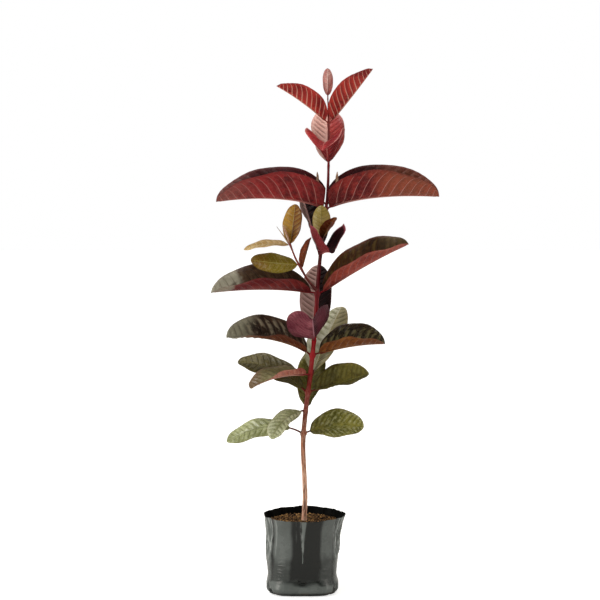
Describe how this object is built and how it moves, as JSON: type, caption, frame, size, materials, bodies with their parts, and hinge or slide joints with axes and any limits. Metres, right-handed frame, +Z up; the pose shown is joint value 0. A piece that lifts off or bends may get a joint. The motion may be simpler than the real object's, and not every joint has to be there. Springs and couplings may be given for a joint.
{
  "type": "potted guava sapling",
  "caption": "Young red-leaved guava tree: one slender stem with opposite pairs of folded oval leaves and young side shoots, rooted in a soil-filled black film nursery bag.",
  "frame": {"origin": "centre of the bag's flat underside", "axes": "+X to the right of the plant's front, +Y away from its front, +Z up along the stem"},
  "size_m": [0.2881, 0.1467, 0.6634],
  "materials": {
    "film": "black polythene film, glossy",
    "potting_mix": "brown crumbly mix, matt",
    "bark": "smooth young bark, tan below and red above",
    "leaf_pale": "old leaf, pale green, satin",
    "leaf_olive": "grown leaf, olive green, glossy",
    "leaf_bronze": "grown leaf, dark bronze above and brown red below, glossy",
    "leaf_maroon": "young leaf, dark maroon, satin",
    "leaf_crimson": "young leaf, crimson, satin",
    "leaf_scarlet": "newest leaf, bright red, satin",
    "leaf_rose": "bud and tiny leaves, pink, satin",
    "leaf_golden": "side shoot, yellow to brown, satin"
  },
  "bodies": {
    "root": {"bag": "film", "soil": "potting_mix", "stem": "bark", "leaf_01_left": "leaf_pale", "leaf_01_right": "leaf_olive", "leaf_02_front": "leaf_pale", "leaf_02_back": "leaf_olive", "leaf_03_left": "leaf_olive", "leaf_03_right": "leaf_olive", "leaf_04_front": "leaf_olive", "leaf_04_back": "leaf_pale", "leaf_05_left": "leaf_bronze", "leaf_05_right": "leaf_bronze", "leaf_06_front": "leaf_maroon", "leaf_06_back": "leaf_maroon", "leaf_07_left": "leaf_bronze", "leaf_07_right": "leaf_bronze", "leaf_08_front": "leaf_maroon", "leaf_08_back": "leaf_maroon", "leaf_09_left": "leaf_crimson", "leaf_09_right": "leaf_crimson", "leaf_10_front": "leaf_crimson", "leaf_10_back": "leaf_crimson", "leaf_11_left": "leaf_scarlet", "leaf_11_right": "leaf_scarlet", "shoot_left": "leaf_golden", "shoot_front": "leaf_golden", "shoot_axil_left": "leaf_rose", "shoot_axil_right": "leaf_rose", "tip_bud": "leaf_rose"}
  },
  "joints": []
}
